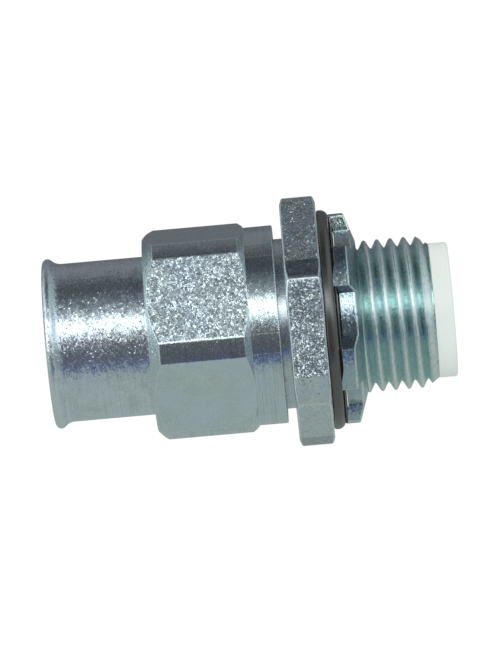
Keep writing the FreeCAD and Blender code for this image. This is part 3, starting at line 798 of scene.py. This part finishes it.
def sleeve_outline():
    """The sleeve's section, from the bore round the rolled lip and back along the outside."""
    rise = SLEEVE_FLARE_CENTRE_R - SLEEVE_LIP_CENTRE_R
    run = SLEEVE_FLARE_X - SLEEVE_LIP_X
    meeting = math.degrees(math.atan2(rise, run))
    flange = rounded(
        (SLEEVE_FLANGE_LEFT, SLEEVE_R, 0.1),
        (SLEEVE_FLANGE_LEFT, SLEEVE_FLANGE_R, 0.1),
        (SLEEVE_FLANGE_RIGHT, SLEEVE_FLANGE_R, 0.1),
        (SLEEVE_FLANGE_RIGHT, SLEEVE_BORE_R, 0.1),
    )
    bell = arc(SLEEVE_BELL_X, SLEEVE_BORE_R + SLEEVE_BELL_ROUND, SLEEVE_BELL_ROUND, 270, 184, 14)
    # The rolled lip carries a weaker edge mark, so it is painted somewhat bright: partly wear, partly a painted
    # highlight.
    lip = arc(SLEEVE_LIP_X, SLEEVE_LIP_CENTRE_R, SLEEVE_LIP_ROUND, 176, meeting, 12, on_edge=0.6)
    flare = arc(SLEEVE_FLARE_X, SLEEVE_FLARE_CENTRE_R, SLEEVE_FLARE_ROUND, 180 + meeting, 270, 12)
    barrel = [(SLEEVE_FLARE_X + (SLEEVE_FLANGE_LEFT - SLEEVE_FLARE_X) * k / 8, SLEEVE_R, 0.0, 0.0)
              for k in range(1, 8)]
    return bell + lip + flare + barrel + flange


sleeve_steel = plated_steel(
    "sleeve_zinc_plate", (0.93, 0.98, 1.0), (0.58, 0.63, 0.66), (0.82, 0.84, 0.97),
    facet=0.15, lean=0.20, sparkle=0.9, roughness=0.24, turned_lean=0.20, lines=0.002, wear_and_highlight_amount=0.5)
place("flared_tube", turned_mesh("flared_tube", sleeve_outline()), sleeve_steel,
      "gland", "sleeve_zinc", "bell_mouth_sleeve")


# ---------------------------------------------------------------------------
# The stack inside the nut: a thin plated slip washer, a black rubber sealing ring and
# a slit steel compression ring. They lie loose between the sleeve and the body's cone,
# and keep their plain machined or moulded shapes.

def finish_node(node, material):
    """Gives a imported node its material."""
    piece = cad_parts[node]
    piece.data.materials.clear()
    piece.data.materials.append(material)


def rubber_skin():
    """Shader group: the skin of moulded rubber, with a faint bloom in clouds and a fine leathery grain."""
    tree, given, result = new_group("rubber_skin", "ShaderNodeTree", [
        ("Colour", "NodeSocketColor", (0.01, 0.01, 0.01, 1)),
        ("Bloom Colour", "NodeSocketColor", (0.04, 0.04, 0.04, 1)),
        ("Bloom Scale", "NodeSocketFloat", 420.0),
        ("Skin Scale", "NodeSocketFloat", 5200.0),
        ("Roughness", "NodeSocketFloat", 0.3),
    ], [
        ("Colour", "NodeSocketColor"),
        ("Roughness", "NodeSocketFloat"),
        ("Normal", "NodeSocketVector"),
    ])
    here = add(tree, "ShaderNodeTexCoord").outputs["Object"]
    bloom = add(tree, "ShaderNodeTexNoise", here, given["Bloom Scale"], 4.0, 0.65).outputs[0]
    skin = add(tree, "ShaderNodeTexNoise", here, given["Skin Scale"], 2.0, 0.55).outputs[0]
    tree.links.new(blend_colours(tree, bloom, given["Colour"], given["Bloom Colour"]), result["Colour"])
    tree.links.new(sums(tree, "MULTIPLY_ADD", bloom, 0.25, given["Roughness"]), result["Roughness"])
    leather = add(tree, "ShaderNodeBump", 0.3, 0.02 * MM)
    tree.links.new(skin, leather.inputs["Height"])
    tree.links.new(leather.outputs[0], result["Normal"])
    return tree


RUBBER_SKIN = rubber_skin()


def moulded_rubber(name, colour, bloom_colour, roughness, shine=1.5):
    """Moulded rubber, whose gloss is set by its roughness and its shine, the index of refraction."""
    material = bpy.data.materials.new(name)
    material.use_nodes = True
    tree = material.node_tree
    rubber = tree.nodes["Principled BSDF"]
    skin = use_group(tree, RUBBER_SKIN, Colour=(*colour, 1), Bloom_Colour=(*bloom_colour, 1),
                     Roughness=roughness)
    tree.links.new(skin["Colour"], rubber.inputs["Base Color"])
    tree.links.new(skin["Roughness"], rubber.inputs["Roughness"])
    tree.links.new(skin["Normal"], rubber.inputs["Normal"])
    rubber.inputs["IOR"].default_value = shine
    return material


washer_steel = plated_steel(
    "washer_zinc_plate", (0.60, 0.66, 0.68), (0.42, 0.47, 0.50), (0.52, 0.58, 0.68),
    facet=0.15, lean=0.2, roughness=0.25, wear_and_highlight_amount=0.0)
ring_steel = plated_steel(
    "compression_ring_plate", (0.62, 0.66, 0.66), (0.40, 0.43, 0.45), (0.54, 0.56, 0.62),
    facet=0.12, lean=0.2, roughness=0.2, wear_and_highlight_amount=0.0)
ring_rubber = moulded_rubber("black_ring_rubber", (0.010, 0.010, 0.011), (0.03, 0.03, 0.03), 0.4)
finish_node("slip_washer", washer_steel)
finish_node("sealing_ring", ring_rubber)
finish_node("compression_ring", ring_steel)


# ---------------------------------------------------------------------------
# The sealing gasket: a dark moulded rubber ring with a domed outer edge, which is
# squeezed between the hex flange and the enclosure wall to keep water out.

GASKET_BORE_R = 10.5
GASKET_R = 15.05
GASKET_FACE_X = 0.02
GASKET_FACE_ROUND = 0.3
GASKET_DOME_X = 0.52
GASKET_DOME_ROUND = 1.12
GASKET_LIP = [
    (1.56, 13.75), (1.60, 13.9), (1.66, 14.15), (1.76, 14.24), (1.85, 14.18), (1.88, 13.8),
    (2.06, 12.4), (1.90, 11.6), (1.5, 11.1), (1.5, GASKET_BORE_R),
]

gasket_edge_r = GASKET_R - GASKET_FACE_ROUND
gasket_face = [(GASKET_FACE_X, GASKET_BORE_R, 0.0, 0.0), (GASKET_FACE_X, gasket_edge_r, 0.0, 0.0)]
gasket_edge = arc(GASKET_FACE_X + GASKET_FACE_ROUND, gasket_edge_r, GASKET_FACE_ROUND, 170, 90, 5)
gasket_dome = arc(GASKET_DOME_X, GASKET_R - GASKET_DOME_ROUND, GASKET_DOME_ROUND, 86, 10, 12)
gasket_lip = [(x, r, 0.0, 0.0) for x, r in GASKET_LIP]
gasket_outline = gasket_face + gasket_edge + gasket_dome + gasket_lip
gasket_rubber = moulded_rubber(
    "gasket_rubber", (0.012, 0.008, 0.006), (0.045, 0.034, 0.027), 0.12, shine=2.2)
place("gasket_ring", turned_mesh("gasket_ring", gasket_outline, crease=60), gasket_rubber,
      "seal", "gasket_rubber", "sealing_gasket")


# ---------------------------------------------------------------------------
# The locknut: pressed from thick steel strip, dished, tapped and zinc plated. Six lugs
# stand round its rim, and one end of each is bent towards the enclosure wall as a
# tooth that bites into it.

LOCKNUT_R = 14.4
LOCKNUT_FLOOR_R = 12.4
LOCKNUT_CROWN_X = 5.0
LOCKNUT_CROWN_R = 10.4
LOCKNUT_RIM_X = 3.65
LOCKNUT_BORE_R = 10.5
LOCKNUT_BACK_X = 2.58
LOCKNUT_DISH_START_R = 10.9
LOCKNUT_DISH_END_R = 13.0
LOCKNUT_DISH_DEPTH = 0.6
LOCKNUT_LUG_DROP = 0.1
LOCKNUT_LUG_START = 36.8
LOCKNUT_LUG_END = 61.5
LOCKNUT_FLOOR_START = 63.5
LOCKNUT_TOOTH_SPAN = 13.5
LOCKNUT_TOOTH_REACH = 0.6
LOCKNUT_TOOTH_R = 13.5
LOCKNUT_WEAR_AND_HIGHLIGHT_SPAN = 0.3
LOCKNUT_THREAD_START = 2.6
LOCKNUT_THREAD_R = 9.3
LOCKNUT_THREAD_ROOT_R = 10.45
LOCKNUT_THREAD_PHASE = 0.5


def locknut_outline(angle):
    """The locknut at one angle from 30 to 90 degrees, which holds one lug and one notch."""
    def share(distance, whole):
        return min(1.0, max(0.0, distance / whole))

    ramp_up = share(angle - 30, LOCKNUT_LUG_START - 30)
    ramp_down = share(LOCKNUT_FLOOR_START - angle, LOCKNUT_FLOOR_START - LOCKNUT_LUG_END)
    r = LOCKNUT_FLOOR_R + (LOCKNUT_R - LOCKNUT_FLOOR_R) * min(ramp_up, ramp_down)
    tooth = 0.0
    if angle < LOCKNUT_LUG_END + 0.1:
        into_tooth = angle - LOCKNUT_LUG_END + LOCKNUT_TOOTH_SPAN
        tooth = LOCKNUT_TOOTH_REACH * share(into_tooth, LOCKNUT_TOOTH_SPAN)
    step_r = min(LOCKNUT_TOOTH_R, r - 0.3)

    def left(radius):
        dish = max(0.0, min(radius, LOCKNUT_DISH_END_R) - LOCKNUT_DISH_START_R)
        beyond = max(0.0, radius - LOCKNUT_DISH_END_R)
        return (LOCKNUT_BACK_X - dish * LOCKNUT_DISH_DEPTH / (LOCKNUT_DISH_END_R - LOCKNUT_DISH_START_R)
                - beyond * LOCKNUT_LUG_DROP / (LOCKNUT_R - LOCKNUT_DISH_END_R))

    def right(radius):
        drop = (LOCKNUT_CROWN_X - LOCKNUT_RIM_X) / (LOCKNUT_R - LOCKNUT_CROWN_R)
        return LOCKNUT_CROWN_X - (radius - LOCKNUT_CROWN_R) * drop

    tip = min(step_r + 0.75, r - 0.12)
    return rounded(
        (LOCKNUT_BACK_X, LOCKNUT_BORE_R - 0.06, 0),
        (LOCKNUT_BACK_X, LOCKNUT_DISH_START_R, 0.05),
        (left(step_r), step_r, 0),
        (left(tip) - tooth, tip, 0),
        (left(r) - tooth, r, 0.05),
        (right(r), r, 0.28),
        (LOCKNUT_CROWN_X, LOCKNUT_CROWN_R + 0.06, 0.05),
        (LOCKNUT_CROWN_X, LOCKNUT_BORE_R - 0.06, 0),
    )


locknut_steel = plated_steel(
    "locknut_zinc_plate", (0.72, 0.80, 0.80), (0.30, 0.38, 0.40), (0.48, 0.60, 0.70),
    facet=0.12, lean=0.20, sparkle=1.2, roughness=0.16, turned_lean=0.17, lines=0.0)
locknut_angles = spread(
    30, 90, 40, (30, LOCKNUT_LUG_START, LOCKNUT_LUG_END, LOCKNUT_FLOOR_START), reach=0.3)
# The ends of the lugs are painted bright: partly wear, partly a painted highlight.
locknut_sector = ring_mesh(
    "locknut_sector", locknut_outline, locknut_angles, closed=False,
    wear_and_highlight_at=lambda angle: min(
        abs(angle - LOCKNUT_LUG_START), abs(angle - LOCKNUT_LUG_END)) < LOCKNUT_WEAR_AND_HIGHLIGHT_SPAN)
locknut_mesh = finish_mesh(baked("locknut_plate", REPEAT_ROUND, locknut_sector, {"Count": 6}))
place("locknut_plate", locknut_mesh, locknut_steel, "lock", "locknut_zinc", "locknut")
locknut_thread = thread_mesh(
    "locknut_thread", LOCKNUT_THREAD_START, LOCKNUT_CROWN_X - 0.02, HUB_PITCH, LOCKNUT_THREAD_R,
    LOCKNUT_THREAD_ROOT_R, LOCKNUT_BORE_R + 0.05, HUB_END + HUB_PITCH * LOCKNUT_THREAD_PHASE,
    HUB_CREST_ANGLE, crest_flat=0.1, start_fade=0.5, end_fade=0.6, root_flat=0.45)
place("locknut_thread", locknut_thread, locknut_steel, "lock", "locknut_zinc")


# ---------------------------------------------------------------------------
# The studio: a pale floor under the fitting, long soft lights above and beside it
# that the metal mirrors, and a camera with a long lens that looks down at it.

CAMERA_ELEVATION = 40.5
CAMERA_ROLL = 5.75
CAMERA_DISTANCE = 680 * MM
CAMERA_X = -0.55 * MM
AIM_X = -10.4 * MM
AIM_DROP = 0.93 * MM
LENS_LENGTH = 268
SENSOR_WIDTH = 36
FLOOR_HALF = 3.0
FLOOR_BEHIND_SPAN = 0.04
FLOOR_BEHIND_OFFSET = -0.375
FLOOR_FRONT_SPAN = 0.25
FLOOR_FRONT_OFFSET = -0.9
FLOOR_MIDDLE_COLOUR = (0.36, 0.43, 0.41, 1)
FLOOR_BEHIND_COLOUR = (0.145, 0.155, 0.165, 1)
FLOOR_FRONT_COLOUR = (0.03, 0.09, 0.40, 1)
BACKDROP_WHITE = 1.02

low, high = cad_bounds
floor_mesh = bpy.data.meshes.new("floor")
floor_mesh.from_pydata(
    [(-FLOOR_HALF, -FLOOR_HALF, low.z), (FLOOR_HALF, -FLOOR_HALF, low.z),
     (FLOOR_HALF, FLOOR_HALF, low.z), (-FLOOR_HALF, FLOOR_HALF, low.z)], [], [(0, 1, 2, 3)])
floor = bpy.data.objects.new("floor", floor_mesh)
bpy.context.scene.collection.objects.link(floor)
# The floor is a glowing surface, a lamp under the part: the camera sees it evenly white, diffuse rays get a pale
# fill light from it, and the metal mirrors a glowing pattern, grey-green, darker behind the part and blue far in
# front.
paper = bpy.data.materials.new("glowing_floor")
paper.use_nodes = True
paper_tree = paper.node_tree
paper_tree.nodes.clear()
floor_path = add(paper_tree, "ShaderNodeLightPath")
floor_spot = add(paper_tree, "ShaderNodeTexCoord").outputs["Object"]
floor_place = add(paper_tree, "ShaderNodeSeparateXYZ", floor_spot)
back = floor_place.outputs[1]
behind = sums(paper_tree, "MULTIPLY_ADD", back, 1 / FLOOR_BEHIND_SPAN, FLOOR_BEHIND_OFFSET)
shade = blend_colours(paper_tree, behind, FLOOR_MIDDLE_COLOUR, FLOOR_BEHIND_COLOUR)
far_front = sums(paper_tree, "MULTIPLY_ADD", back, -1 / FLOOR_FRONT_SPAN, FLOOR_FRONT_OFFSET)
shade = blend_colours(paper_tree, far_front, shade, FLOOR_FRONT_COLOUR)
paper_seen = add(paper_tree, "ShaderNodeEmission", (1, 1, 1, 1), BACKDROP_WHITE)
paper_mirrored = add(paper_tree, "ShaderNodeEmission", shade, 1.0)
paper_lit = add(paper_tree, "ShaderNodeEmission", (0.95, 1.0, 0.97, 1), 0.8)
lit_ray, seen_ray = floor_path.outputs["Is Diffuse Ray"], floor_path.outputs["Is Camera Ray"]
paper_mix = add(paper_tree, "ShaderNodeMixShader", lit_ray, paper_mirrored, paper_lit)
paper_mix = add(paper_tree, "ShaderNodeMixShader", seen_ray, paper_mix, paper_seen)
add(paper_tree, "ShaderNodeOutputMaterial", paper_mix)
floor_mesh.materials.append(paper)

world = bpy.data.worlds.new("studio")
bpy.context.scene.world = world
world.use_nodes = True
sky = world.node_tree
sky.nodes.clear()
toward = add(sky, "ShaderNodeSeparateXYZ", add(sky, "ShaderNodeTexCoord").outputs["Generated"])
front = sums(sky, "MULTIPLY", toward.outputs["Y"], -1.0)
over = sums(sky, "DIVIDE", sums(sky, "ARCTAN2", toward.outputs["Z"], front), math.pi)
ABOVE = [  # (degrees up from the front horizon, colour), for light that comes from straight over the part
    (0, (0.03, 0.08, 0.38)),
    (3, (0.05, 0.07, 0.20)),
    (6, (0.07, 0.07, 0.08)),
    (38, (0.10, 0.11, 0.115)),
    (46, (0.28, 0.33, 0.34)),
    (52, (0.8, 0.9, 0.9)),
    (56, (2.2, 2.4, 2.4)),
    (67, (2.2, 2.4, 2.4)),
    (72, (0.42, 0.48, 0.50)),
    (84, (0.22, 0.26, 0.28)),
    (98, (0.10, 0.12, 0.14)),
    (112, (0.032, 0.036, 0.045)),
    (124, (0.05, 0.06, 0.07)),
    (138, (0.10, 0.11, 0.12)),
    (152, (0.20, 0.22, 0.23)),
    (180, (0.22, 0.24, 0.25)),
]
BESIDE = [  # the same, for light that comes from the part's two ends
    (0, (0.25, 0.33, 0.34)),
    (40, (0.35, 0.45, 0.46)),
    (52, (1.6, 1.8, 1.8)),
    (74, (1.6, 1.8, 1.8)),
    (86, (0.6, 0.75, 0.78)),
    (180, (0.35, 0.45, 0.46)),
]


def sky_band(stops):
    """A sweep of light from the front horizon, over the top, to the horizon behind."""
    sweep = add(sky, "ShaderNodeValToRGB", over)
    marks = sweep.color_ramp.elements
    marks.remove(marks[0])
    marks[0].position = 0.0
    marks[0].color = (*stops[0][1], 1)
    for degrees, colour in stops[1:]:
        marks.new(degrees / 180).color = (*colour, 1)
    return sweep.outputs[0]


sideways = sums(sky, "ABSOLUTE", toward.outputs["X"])
to_side = sums(sky, "MULTIPLY_ADD", sideways, 2.5, -0.9)
beside = add(sky, "ShaderNodeVectorMath", sky_band(BESIDE), operation="SCALE")
brighter_left = sums(sky, "MULTIPLY_ADD", toward.outputs["X"], -0.35, 1.15)
sky.links.new(brighter_left, beside.inputs["Scale"])
ramp = blend_colours(sky, to_side, sky_band(ABOVE), beside.outputs[0])
sky_path = add(sky, "ShaderNodeLightPath")
sky_light = add(sky, "ShaderNodeBackground", ramp, 1.0)
sky_seen = add(sky, "ShaderNodeBackground", (1, 1, 1, 1), BACKDROP_WHITE)
sky_fill = add(sky, "ShaderNodeBackground", (0.97, 1.0, 0.98, 1), 0.95)
sky_mix = add(sky, "ShaderNodeMixShader", sky_path.outputs["Is Diffuse Ray"], sky_light, sky_fill)
sky_mix = add(sky, "ShaderNodeMixShader", sky_path.outputs["Is Camera Ray"], sky_mix, sky_seen)
add(sky, "ShaderNodeOutputWorld", sky_mix)

lens = bpy.data.cameras.new("camera")
lens.lens = LENS_LENGTH
lens.sensor_width = SENSOR_WIDTH
lens.clip_start = 0.05
lens.clip_end = 20
camera = bpy.data.objects.new("camera", lens)
bpy.context.scene.collection.objects.link(camera)
bpy.context.scene.camera = camera
tilt = math.radians(CAMERA_ELEVATION)
camera.location = (CAMERA_X, -CAMERA_DISTANCE * math.cos(tilt), CAMERA_DISTANCE * math.sin(tilt))
aim = Vector((AIM_X, -AIM_DROP * math.sin(tilt), -AIM_DROP * math.cos(tilt)))
look = (aim - camera.location).to_track_quat("-Z", "Y").to_matrix()
camera.rotation_euler = (look @ Matrix.Rotation(math.radians(-CAMERA_ROLL), 3, "Z")).to_euler()
bpy.context.scene.view_settings.view_transform = "Standard"
